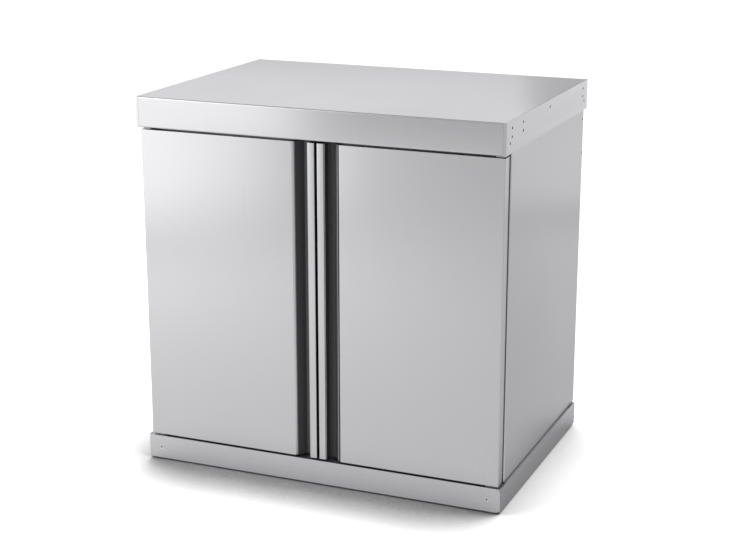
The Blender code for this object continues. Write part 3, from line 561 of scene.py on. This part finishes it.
def makeSidePanels():
    size = body
    depth = (size["flange"], 0, 0, 0)
    for word, side in sides:
        mesh = foldedTray(Vector((side * size["side"], size["front"], size["bottom"])),
                          Vector((0, size["back"] - size["front"], 0)),
                          Vector((0, 0, size["top"] - size["bottom"])), Vector((side, 0, 0)),
                          {"high": depth, "start": depth, "end": depth}, size["sheet"], size["bend"])
        middle = side * (size["side"] - size["sheet"] / 2)
        spots = list(size["sideHoles"]) + [spot for spot in endHolePlaces() if spot[0] > size["front"]]
        holes = [((middle, y, z), (1, 0, 0), size["holeRadius"], size["sheet"]) for y, z in spots]
        holes += [((side * hinge["x"], size["front"], z), (0, 1, 0), size["holeRadius"], size["sheet"])
                  for z in hinge["screws"]]
        finishPiece(word + "SidePanel", mesh, stainlessUpright, "carcass",
                    "side_panel_" + word, size["sheet"], drills(holes))
        for number, z in enumerate(backScrewHeights(), 1):
            place = (side * (size["side"] - backScrews["inset"]), size["back"], z)
            addPanScrew(word + "BackScrew" + str(number), place, (0, 1, 0))


def makeBackPanel():
    low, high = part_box("back_panel")
    mesh = flatPlate(deep, (low.x, low.z), (high.x, high.z), low.y, high.y)
    holes = [((side * (body["side"] - backScrews["inset"]), (low.y + high.y) / 2, z), (0, 1, 0),
              body["holeRadius"], high.y - low.y) for _, side in sides for z in backScrewHeights()]
    finishPiece("backPanel", mesh, stainlessUpright, "carcass", "back_panel",
                cutters=drills(holes))


def channelPath(web, low, high, reach):
    # a channel with its web at one place and its two flanges reaching to another
    path = [(abs(reach - web), high), (0, high), (0, low), (abs(reach - web), low)]
    return [(web + y, z) for y, z in path] if reach > web else [(web + y, z) for y, z in otherHand(path)]


def makeTopRails():
    size = body
    for word in ("front", "back"):
        low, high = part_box("top_rail_" + word)
        web, reach = (low.y, high.y) if word == "front" else (high.y, low.y)
        mesh = foldedSheet(channelPath(web, low.z, high.z, reach), across, low.x, high.x, size["sheet"],
                           size["bend"])
        holes = [((side * hinge["x"], web, z), (0, 1, 0), size["holeRadius"], size["sheet"] * 2)
                 for _, side in sides for z in hinge["screws"]] if word == "front" else []
        finishPiece(word + "TopRail", mesh, stainlessAcross, "carcass",
                    "top_rail_" + word, size["sheet"], drills(holes) if holes else None)


def makeFloorAndShelf():
    size = body
    for word, node, edge, lip in (("floorPanel", "floor_panel", None, 0),
                                  ("shelf", "shelf", size["shelfEdge"], size["shelfLip"])):
        low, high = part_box(node)
        folded = (edge or high.z - low.z, lip, 0, 0)
        mesh = foldedTray(Vector((low.x, low.y, high.z)), Vector((high.x - low.x, 0, 0)),
                          Vector((0, high.y - low.y, 0)), Vector((0, 0, 1)),
                          {name: folded for name in ("low", "end", "high", "start")}, size["sheet"],
                          size["bend"])
        finishPiece(word, mesh, stainlessAcross, "carcass", node, size["sheet"])


makeSidePanels()
makeBackPanel()
makeTopRails()
makeFloorAndShelf()
print("body made")


# Doors: each skin is one sheet folded round the panel, the groove and the handle strip

doorSkin = {"inner": 0.003, "outer": 0.4455, "front": -0.312, "back": -0.282, "bottom": 0.066, "top": 0.821,
            "lip": 0.012, "sheet": 0.0012, "bend": 0.0010, "grooveStart": 0.020, "grooveEnd": 0.058,
            "grooveDepth": 0.024, "slopeRun": 0.020}
doorLiner = {"back": -0.2835, "start": 0.0055, "end": 0.443, "depth": 0.027, "byGroove": 0.055,
             "inset": 0.001, "bushHole": 0.0063}
grooveLining = {"sheet": 0.0010, "bend": 0.0008, "wallSetback": 0.0030, "slopeSetback": 0.0045,
                "lip": 0.0026, "bareFacing": 0.5}


def makeDoorSkins():
    size = doorSkin
    inner, outer, front, back = size["inner"], size["outer"], size["front"], size["back"]
    floor = front + size["grooveDepth"]
    path = [(inner + size["lip"], back), (inner, back), (inner, front), (size["grooveStart"], front),
            (size["grooveStart"], floor), (size["grooveEnd"] - size["slopeRun"], floor),
            (size["grooveEnd"], front), (outer, front), (outer, back), (outer - size["lip"], back)]
    for word, side in sides:
        mesh = foldedSheet(path if side > 0 else otherHand(path), upright, size["bottom"], size["top"],
                           size["sheet"], size["bend"])
        finishPiece(word + "DoorSkin", mesh, stainlessUpright, word + "_door",
                    word + "_door_skin", size["sheet"])


def makeDoorLiners():
    size, skin = doorLiner, doorSkin
    edges = {"low": (size["depth"], 0, size["byGroove"], size["inset"]),
             "high": (size["depth"], 0, size["inset"], size["byGroove"])}
    for word, side in sides:
        mesh = foldedTray(Vector((side * size["start"], size["back"], skin["bottom"])),
                          Vector((side * (size["end"] - size["start"]), 0, 0)),
                          Vector((0, 0, skin["top"] - skin["bottom"])), Vector((0, 1, 0)), edges,
                          skin["sheet"], skin["bend"])
        holes = [((side * hinge["x"], hinge["y"], z), (0, 0, 1), size["bushHole"], skin["sheet"])
                 for z in (skin["bottom"], skin["top"])]
        finishPiece(word + "DoorLiner", mesh, stainlessUpright, word + "_door",
                    word + "_door_liner", skin["sheet"], drills(holes))


def makeGrooveLinings():
    size, skin = grooveLining, doorSkin
    slope = Vector((skin["slopeRun"], -skin["grooveDepth"])).normalized()
    out = Vector((slope.y, -slope.x)) * shop["gap"]
    floor = skin["front"] + skin["grooveDepth"]
    foot = Vector((skin["grooveEnd"] - skin["slopeRun"], floor)) + out
    floor -= shop["gap"]
    foot += slope * (floor - foot.y) / slope.y
    run = skin["slopeRun"] * size["slopeSetback"] / skin["grooveDepth"]
    upper = Vector((skin["grooveEnd"] - run, skin["front"] + size["slopeSetback"])) + out
    wall = skin["grooveStart"] + shop["gap"]
    tip = upper + out.normalized() * size["lip"]
    path = [tuple(tip), tuple(upper), tuple(foot), (wall, floor),
            (wall, skin["front"] + size["wallSetback"])]
    for word, side in sides:
        mesh = foldedSheet(path if side > 0 else otherHand(path), upright, skin["bottom"], skin["top"],
                           size["sheet"], size["bend"])
        piece = finishPiece(word + "GrooveLining", mesh, darkLining, word + "_door",
                            word + "_door_groove_lining", size["sheet"])
        piece.data.materials.append(stainlessUpright)  # the end of the lining is bare steel
        upSlope = Vector((side * slope.x, slope.y, 0))
        for face in piece.data.polygons:
            if face.normal.dot(upSlope) > size["bareFacing"] and face.center.y < upper.y + size["lip"]:
                face.material_index = 1


makeDoorSkins()
makeDoorLiners()
makeGrooveLinings()
print("doors made")


# Hinges: a leaf with a riveted pin at each end of a door, running in a nylon bush

pin = {"radius": 0.003, "tip": 0.0006, "reach": 0.016, "collar": 0.007, "shank": 0.0025, "gap": 0.0003,
       "lowerLeaf": -0.0025, "upperLeaf": -0.0015, "plate": 0.002}
bush = {"bore": 0.0033, "radius": 0.006, "flange": 0.009, "flangeHeight": 0.002, "reach": 0.018,
        "seat": 0.0015, "edge": 0.0005}


def makeHingeLeaves():
    size = hinge
    for word, side in sides:
        low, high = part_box("hinge_upper_bracket_" + word)
        front, back = size["y"] - size["leafFront"], body["front"] - shop["gap"]
        mesh = foldedSheet([(front, low.z), (back, low.z), (back, high.z)], across, low.x, high.x,
                           size["sheet"], size["bend"], size["corner"])
        hole = ((side * size["x"], size["y"], low.z + size["sheet"] / 2), (0, 0, 1), size["pinHole"],
                size["sheet"])
        finishPiece(word + "UpperHingeLeaf", mesh, zincSheet, "carcass",
                    "hinge_upper_bracket_" + word, size["sheet"], drills([hole]))
        for number, z in enumerate(size["screws"], 1):
            addPanScrew(word + "UpperHingeScrew" + str(number), (side * size["x"], back - size["sheet"], z),
                        (0, -1, 0))
        low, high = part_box("hinge_lower_bracket_" + word)
        top = doorSkin["bottom"] - size["lowerDrop"]
        mesh = flatPlate(upright, (low.x, low.y), (high.x, high.y), top - size["sheet"], top,
                         (size["lowerCorner"],) * 4)
        hole = ((side * size["x"], size["y"], top - size["sheet"] / 2), (0, 0, 1), size["pinHole"],
                size["sheet"])
        finishPiece(word + "LowerHingeLeaf", mesh, zincSheet, "carcass",
                    "hinge_lower_bracket_" + word, cutters=drills([hole]))
        addPanScrew(word + "LowerHingeScrew", (side * size["lowerScrewX"], size["y"], top), (0, 0, 1))


def makePinsAndBushes():
    size, ring = pin, bush
    ends = (("lower", doorSkin["bottom"], 1, size["lowerLeaf"]),
            ("upper", doorSkin["top"], -1, size["upperLeaf"]))
    for word, side in sides:
        for end, z, way, leaf in ends:
            far = leaf - size["plate"]
            profile = [(0, far), (size["shank"], far), (size["shank"], leaf + size["gap"]),
                       (size["collar"], leaf + size["gap"]), (size["collar"], -size["gap"]),
                       (size["radius"], -size["gap"]), (size["radius"], size["reach"] - size["tip"]),
                       (size["radius"] - size["tip"], size["reach"]), (0, size["reach"])]
            place = (side * hinge["x"], hinge["y"], z)
            finishPiece(word + end.title() + "HingePin", turned(bmesh.new(), profile, place, (0, 0, way)),
                        brightZinc, "carcass", "hinge_" + end + "_pin_" + word)
            profile = [(ring["bore"], 0), (ring["radius"], 0), (ring["radius"], ring["seat"]),
                       (ring["flange"] - ring["edge"], ring["seat"]),
                       (ring["flange"], ring["seat"] + ring["edge"]),
                       (ring["flange"], ring["seat"] + ring["flangeHeight"]),
                       (ring["radius"], ring["seat"] + ring["flangeHeight"]),
                       (ring["radius"], ring["reach"]),
                       (ring["bore"], ring["reach"]), (ring["bore"], 0)]
            finishPiece(word + end.title() + "DoorBush", turned(bmesh.new(), profile, place, (0, 0, way)),
                        blackNylon, word + "_door", word + "_door_bush_" + end)


makeHingeLeaves()
makePinsAndBushes()
print("hinges made")


# Plinth: four plates with countersunk holes and screws, on a frame of channels with corner plates and feet

plinth = {"side": 0.452, "front": -0.3155, "back": 0.304, "bottom": 0.0045, "top": 0.062, "sheet": 0.0015,
          "corner": 0.010, "screwInset": 0.032, "screwHeight": 0.033, "headRadius": 0.0056,
          "shankRadius": 0.0030}
plinthFrame = {"sheet": 0.0015, "bend": 0.0010, "cornerSheet": 0.002, "cornerWidth": 0.045,
               "cornerHeight": 0.0486, "cornerBottom": 0.0098, "footHole": 0.0052, "screwHole": 0.0025,
               "nutInner": 0.0043, "nutOuter": 0.00796, "nutHeight": 0.0065}
foot = {"padRadius": 0.018, "padHeight": 0.004, "padEdge": 0.0012, "edgeShare": 0.3, "stem": 0.004,
        "neck": 0.001, "neckShare": 0.85, "tip": 0.0008, "tipShare": 0.8, "top": 0.050, "pitch": 0.00125,
        "slot": 0.0012, "slotReach": 0.01, "slotDepth": 0.002}


def plinthHoles(word):
    size = plinth
    x = size["side"] - size["screwInset"]
    if word in ("front", "back"):
        way = -1 if word == "front" else 1
        return [((side * x, size[word], size["screwHeight"]), (0, way, 0)) for _, side in sides]
    side = dict(sides)[word]
    return [((side * size["side"], y, size["screwHeight"]), (side, 0, 0))
            for y in (size["front"] + size["screwInset"], size["back"] - size["screwInset"])]


def makePlinthPlates():
    size = plinth
    low, high, seat = size["bottom"], size["top"], size["sheet"] + shop["gap"]
    long = ((-size["side"], low), (size["side"], high), (size["corner"],) * 4)
    short = ((size["front"] + seat, low), (size["back"] - seat, high), (0, 0, 0, 0))
    plates = (("front", deep, long, size["front"] + size["sheet"], size["front"]),
              ("back", deep, long, size["back"] - size["sheet"], size["back"]),
              ("left", across, short, size["sheet"] - size["side"], -size["side"]),
              ("right", across, short, size["side"] - size["sheet"], size["side"]))
    depth, over = size["sheet"], shop["overrun"]
    profile = ((0, -depth - over), (size["shankRadius"], -depth - over), (size["shankRadius"], -depth),
               (size["headRadius"], 0), (size["headRadius"], over), (0, over))
    for word, axis, (start, end, radii), inner, outer in plates:
        cutters = bmesh.new()
        for number, (place, way) in enumerate(plinthHoles(word), 1):
            turned(cutters, profile, place, way)
            addFlatScrew(word + "PlinthScrew" + str(number), place, way,
                         "plinth_screw_%s_%d" % (word, number))
        material = stainlessAcross if axis == deep else stainlessDeep
        finishPiece(word + "PlinthPlate", flatPlate(axis, start, end, inner, outer, radii), material,
                    "carcass", "plinth_" + word, cutters=cutters)


def footPlaces():
    places = []
    for word, side in sides:
        for end in ("front", "back"):
            low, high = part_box("levelling_foot_%s_%s" % (end, word))
            places.append((word, side, end, (low + high) / 2))
    return places


def makeFrameChannels():
    size = plinthFrame
    for word, axis, sign in (("front", across, 1), ("back", across, -1), ("left", deep, 1),
                             ("right", deep, -1)):
        low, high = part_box("frame_channel_" + word)
        flat = 1 - axis  # the axis that the flanges reach along
        web, reach = (low[flat], high[flat]) if sign > 0 else (high[flat], low[flat])
        mesh = foldedSheet(channelPath(web, low.z, high.z, reach), axis, low[axis], high[axis],
                           size["sheet"], size["bend"])
        holes = []
        if axis == across:
            holes = [((place.x, place.y, low.z), (0, 0, 1), size["footHole"], size["sheet"] * 2)
                     for _, _, end, place in footPlaces() if end == word]
            holes += [((side * (plinth["side"] - plinth["screwInset"]), web, plinth["screwHeight"]),
                       (0, 1, 0), size["screwHole"], size["sheet"] * 2) for _, side in sides]
        if word == "front":
            holes += [((side * hinge["lowerScrewX"], hinge["y"], high.z), (0, 0, 1), size["screwHole"],
                       size["sheet"] * 2) for _, side in sides]
        finishPiece(word + "FrameChannel", mesh, zincSheet, "carcass",
                    "frame_channel_" + word, size["sheet"], drills(holes) if holes else None)


def makeFrameCorners():
    size = plinthFrame
    for word, side, end, place in footPlaces():
        low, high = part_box("frame_corner_%s_%s" % (end, word))
        facing = -1 if end == "front" else 1
        corner = Vector((high.x if side > 0 else low.x, high.y if facing > 0 else low.y,
                         size["cornerBottom"]))
        folded = (size["cornerHeight"], 0, 0, 0)
        mesh = foldedTray(corner, Vector((-side * size["cornerWidth"], 0, 0)),
                          Vector((0, -facing * (high.y - low.y), 0)), Vector((0, 0, -1)),
                          {"low": folded, "start": folded}, size["cornerSheet"], size["bend"])
        thick = size["cornerSheet"]
        inset = plinth["screwInset"]
        holes = [((place.x, place.y, low.z + thick / 2), (0, 0, 1), size["footHole"], thick),
                 ((side * (plinth["side"] - inset), corner.y, plinth["screwHeight"]), (0, 1, 0),
                  size["screwHole"], thick * 2),
                 ((corner.x, plinth[end] - facing * inset, plinth["screwHeight"]), (1, 0, 0),
                  size["screwHole"], thick * 2)]
        name = word + end.title()
        finishPiece(name + "FrameCorner", mesh, zincSheet, "carcass",
                    "frame_corner_%s_%s" % (end, word), thick, drills(holes))
        tall = size["nutHeight"]
        nut = turned(bmesh.new(), ((0, 0), (size["nutOuter"], 0), (size["nutOuter"], tall), (0, tall)),
                     (place.x, place.y, low.z + thick), (0, 0, 1), 6)
        bore = drills([((place.x, place.y, low.z + thick + tall / 2), (0, 0, 1), size["nutInner"], tall)])
        finishPiece(name + "WeldNut", nut, brightZinc, "carcass", cutters=bore,
                    edge=shop["roundEdge"])


def makeFeet():
    size = foot
    pad, top, edge, neck = size["padRadius"], size["padHeight"], size["padEdge"], size["neck"]
    soft = edge * size["edgeShare"]
    reach, half, depth = size["slotReach"], size["slot"] / 2, size["slotDepth"]
    profile = [(0, 0), (pad - edge, 0), (pad - soft, soft), (pad, edge), (pad, top - edge),
               (pad - soft, top - soft), (pad - edge, top), (size["stem"] + neck, top),
               (size["stem"] * size["neckShare"], top + neck)]
    profile += threadProfile(size["stem"], top + neck, size["top"] - size["tip"], size["pitch"])[2:]
    profile += [(size["stem"] * size["tipShare"], size["top"]), (0, size["top"])]
    for word, _, end, place in footPlaces():
        mesh = turned(bmesh.new(), profile, (place.x, place.y, 0), (0, 0, 1))
        slotCut = flatPlate(upright, (place.x - reach, place.y - half), (place.x + reach, place.y + half),
                            size["top"] - depth, size["top"] + depth)
        finishPiece(word + end.title() + "Foot", mesh, brightZinc, "foot_%s_%s" % (end, word),
                    "levelling_foot_%s_%s" % (end, word), cutters=slotCut)


makePlinthPlates()
makeFrameChannels()
makeFrameCorners()
makeFeet()
print("plinth made")


# Catches: a nylon housing with a magnet between two pole strips, and a steel strike on each door

catch = {"edge": 0.0015, "rim": 0.003, "recess": 0.0008, "poleHeight": 0.0016, "poleSpacing": 0.0035,
         "poleInset": 0.0008, "poleBack": 0.002, "poleFront": 0.0003}
strike = {"corner": 0.002, "rivet": 0.0025, "rivetFoot": 0.0005, "rivetDome": (0.8, 0.7), "spread": 0.011}
buffer = {"radius": 0.006, "dome": 0.0025, "domeSteps": 6}


def makeCatches():
    size = catch
    for word, _ in sides:
        low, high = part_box("magnetic_catch_" + word)
        mesh = flatPlate(deep, (low.x, low.z), (high.x, high.z), high.y, low.y, (size["edge"],) * 4)
        face = min(mesh.faces, key=lambda each: each.calc_center_median().y)
        bmesh.ops.inset_region(mesh, faces=[face], thickness=size["rim"])
        bmesh.ops.translate(mesh, vec=(0, size["recess"], 0), verts=face.verts)
        finishPiece(word + "CatchHousing", mesh, blackNylon, "carcass",
                    "magnetic_catch_" + word, edge=shop["roundEdge"])
        inset, half = size["rim"] + size["poleInset"], size["poleHeight"] / 2
        for name, up in (("Upper", 1), ("Lower", -1)):
            z = (low.z + high.z) / 2 + up * size["poleSpacing"] / 2
            mesh = flatPlate(deep, (low.x + inset, z - half), (high.x - inset, z + half),
                             low.y + size["poleBack"], low.y + size["poleFront"])
            finishPiece(word + name + "CatchPole", mesh, brightZinc, "carcass")


def makeStrikes():
    # the plate stays back by the rivets' height, so that they reach the strike's full depth
    size, radius, rise = strike, strike["rivet"], shop["gap"]
    shoulder, crown = size["rivetDome"]
    profile = ((0, -size["rivetFoot"]), (radius, -size["rivetFoot"]), (radius, 0),
               (radius * shoulder, rise * crown), (0, rise))
    for word, _ in sides:
        low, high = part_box(word + "_door_strike")
        face = high.y - rise
        mesh = flatPlate(deep, (low.x, low.z), (high.x, high.z), low.y, face, (size["corner"],) * 4)
        finishPiece(word + "Strike", mesh, brightZinc, word + "_door", word + "_door_strike")
        middle = (low + high) / 2
        for number, way in enumerate((-1, 1), 1):
            place = (middle.x + way * size["spread"], face, middle.z)
            mesh = turned(bmesh.new(), profile, place, (0, 1, 0))
            finishPiece(word + "StrikeRivet" + str(number), mesh, brightZinc, word + "_door")


def makeBuffers():
    size = buffer
    for word, _ in sides:
        low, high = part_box("door_buffer_" + word)
        tall = high.y - low.y
        radius, dome, steps = size["radius"], size["dome"], size["domeSteps"]
        profile = [(0, 0), (radius, 0)]
        for step in range(steps + 1):
            angle = math.radians(90 * step / steps)
            profile.append((radius - dome + dome * math.cos(angle), tall - dome + dome * math.sin(angle)))
        profile.append((0, tall))
        mesh = turned(bmesh.new(), profile, ((low.x + high.x) / 2, high.y, (low.z + high.z) / 2), (0, -1, 0))
        finishPiece(word + "Buffer", mesh, blackRubber, "carcass", "door_buffer_" + word)


makeCatches()
makeStrikes()
makeBuffers()


# Studio: a pale floor that shows white, a white surround and soft boxes

studio = {
    "floorColour": "#f4f4f4",
    # the colour of the painted shadow on the paper beside the cabinet
    "paintedShadowColour": "#7c7c7e",
    "shadowReach": 0.25,
    "shadowLean": (0.3, 0.8, 1.0),
    "shadowRange": (0.38, 0.92),
    "contactReach": 0.16,
    "contactLean": (-0.25, -0.45, 1.0),
    "contactRange": (0.5, 1.0),
    "mirroredContact": 0.45,
    "shadeSamples": 8,
    "floorReach": 30.0,
    "surround": 0.15,
    "lampTarget": (0, 0, 0.45),
    "cameraPlace": (1.473, -3.540, 1.520),
    "cameraYaw": 22.547,
    "cameraPitch": 15.902,
    "focalPixels": 1614.8,
    "imageWidth": 740,
    "sensorWidth": 36.0,
}


# Soft boxes: where each hangs, its width and height, and its strength in watts

lamps = {
    "middleBehindLeft": ((-1.20, 2.08, 1.90), 2.0, 1.4, 8.1),
    "middleFrontCornerLeft": ((-1.70, -1.70, 1.90), 2.0, 1.4, 17.5),
    "middleFrontLeft": ((-2.08, -1.20, 1.90), 2.0, 1.4, 17.6),
    "lowFrontCornerLeft": ((-1.70, -1.70, 0.80), 2.0, 1.4, 11.9),
    "lowBehindRight": ((1.20, 2.08, 0.80), 2.0, 1.4, 2.7),
    "farLowFrontLeft": ((-3.90, -2.25, 1.20), 3.0, 2.2, 35.0),
    "farLowBehindRight": ((2.25, 3.90, 1.20), 3.0, 2.2, 6.5),
}


def makeFloor():
    mesh = bmesh.new()
    bmesh.ops.create_grid(mesh, x_segments=1, y_segments=1, size=studio["floorReach"])
    floor = linked("floor", madeMesh("floor", mesh))
    material = bpy.data.materials.new("matt_white_paper")
    material.use_nodes = True
    tree = material.node_tree
    shader = tree.nodes["Principled BSDF"]
    shader.inputs["Roughness"].default_value = 1
    shader.inputs["Specular IOR Level"].default_value = 0
    shader.inputs["Emission Color"].default_value = (1, 1, 1, 1)
    shades = []
    for kind in ("shadow", "contact"):  # how open the paper is to the light from the side that this leans to
        lean = Vector(studio[kind + "Lean"]).normalized()
        way = addNode(tree, "CombineXYZ", {"X": lean.x, "Y": lean.y, "Z": lean.z})
        shade = addNode(tree, "AmbientOcclusion", {"samples": studio["shadeSamples"],
                                                   "Distance": studio[kind + "Reach"]},
                        {"Normal": way.outputs[0]})
        shades.append(shade.outputs["AO"])
    # painted shadow: the paper's colour and its glow darken near the cabinet, most in front of it, as under
    # a light from behind
    low, high = studio["shadowRange"]
    openShare = addNode(tree, "MapRange", {"From Min": low, "From Max": high}, {"Value": shades[0]})
    tone = addNode(tree, "Mix", {"data_type": "RGBA"}, {0: openShare.outputs[0]})
    tone.inputs[6].default_value = linearColour(studio["paintedShadowColour"])
    tone.inputs[7].default_value = linearColour(studio["floorColour"])
    tree.links.new(tone.outputs[2], shader.inputs["Base Color"])
    # it glows white where the camera sees it, and where metal mirrors it, there with a weaker, closer
    # painted shade
    path = addNode(tree, "LightPath")
    mirrored = addNode(tree, "Math", {"operation": "MAXIMUM"},
                       {0: path.outputs["Is Glossy Ray"], 1: path.outputs["Is Transmission Ray"]})
    low, high = studio["contactRange"]
    weaker = addNode(tree, "MapRange", {"interpolation_type": "SMOOTHSTEP", "From Min": low,
                                        "From Max": high, "To Min": studio["mirroredContact"]},
                     {"Value": shades[1]})
    seen = addNode(tree, "Math", {"operation": "MULTIPLY"},
                   {0: path.outputs["Is Camera Ray"], 1: openShare.outputs[0]})
    both = addNode(tree, "Math", {"operation": "MULTIPLY_ADD"},
                   {0: mirrored.outputs[0], 1: weaker.outputs[0], 2: seen.outputs[0]})
    tree.links.new(both.outputs[0], shader.inputs["Emission Strength"])
    floor.data.materials.append(material)


def makeWorld():
    world = bpy.data.worlds.new("white_surround")
    scene.world = world
    world.use_nodes = True
    tree = world.node_tree
    back = tree.nodes["Background"]
    back.inputs["Color"].default_value = (1, 1, 1, 1)
    # white where it is seen, mirrored or looked at through glass, and dim as a light on the floor
    path = addNode(tree, "LightPath")
    strength = addNode(tree, "MapRange", {"To Min": 1.0, "To Max": studio["surround"]},
                       {"Value": path.outputs["Is Diffuse Ray"]})
    tree.links.new(strength.outputs[0], back.inputs["Strength"])


def addLamp(name, place, width, height, power):
    lamp = bpy.data.lights.new(name, "AREA")
    lamp.shape = "RECTANGLE"
    lamp.size = width
    lamp.size_y = height
    lamp.energy = power
    made = linked(name, lamp)
    made.location = place
    made.rotation_euler = (Vector(studio["lampTarget"]) - Vector(place)).to_track_quat("-Z", "Y").to_euler()


def makeCamera():
    data = bpy.data.cameras.new("camera")
    camera = linked("camera", data)
    data.sensor_width = studio["sensorWidth"]
    data.lens = studio["focalPixels"] * studio["sensorWidth"] / studio["imageWidth"]
    camera.location = studio["cameraPlace"]
    camera.rotation_euler = (math.radians(90 - studio["cameraPitch"]), 0, math.radians(studio["cameraYaw"]))
    scene.camera = camera


makeFloor()
makeWorld()
for name, (place, width, height, power) in lamps.items():
    addLamp(name, place, width, height, power)
makeCamera()
scene.view_settings.view_transform = "Standard"
print("studio set")
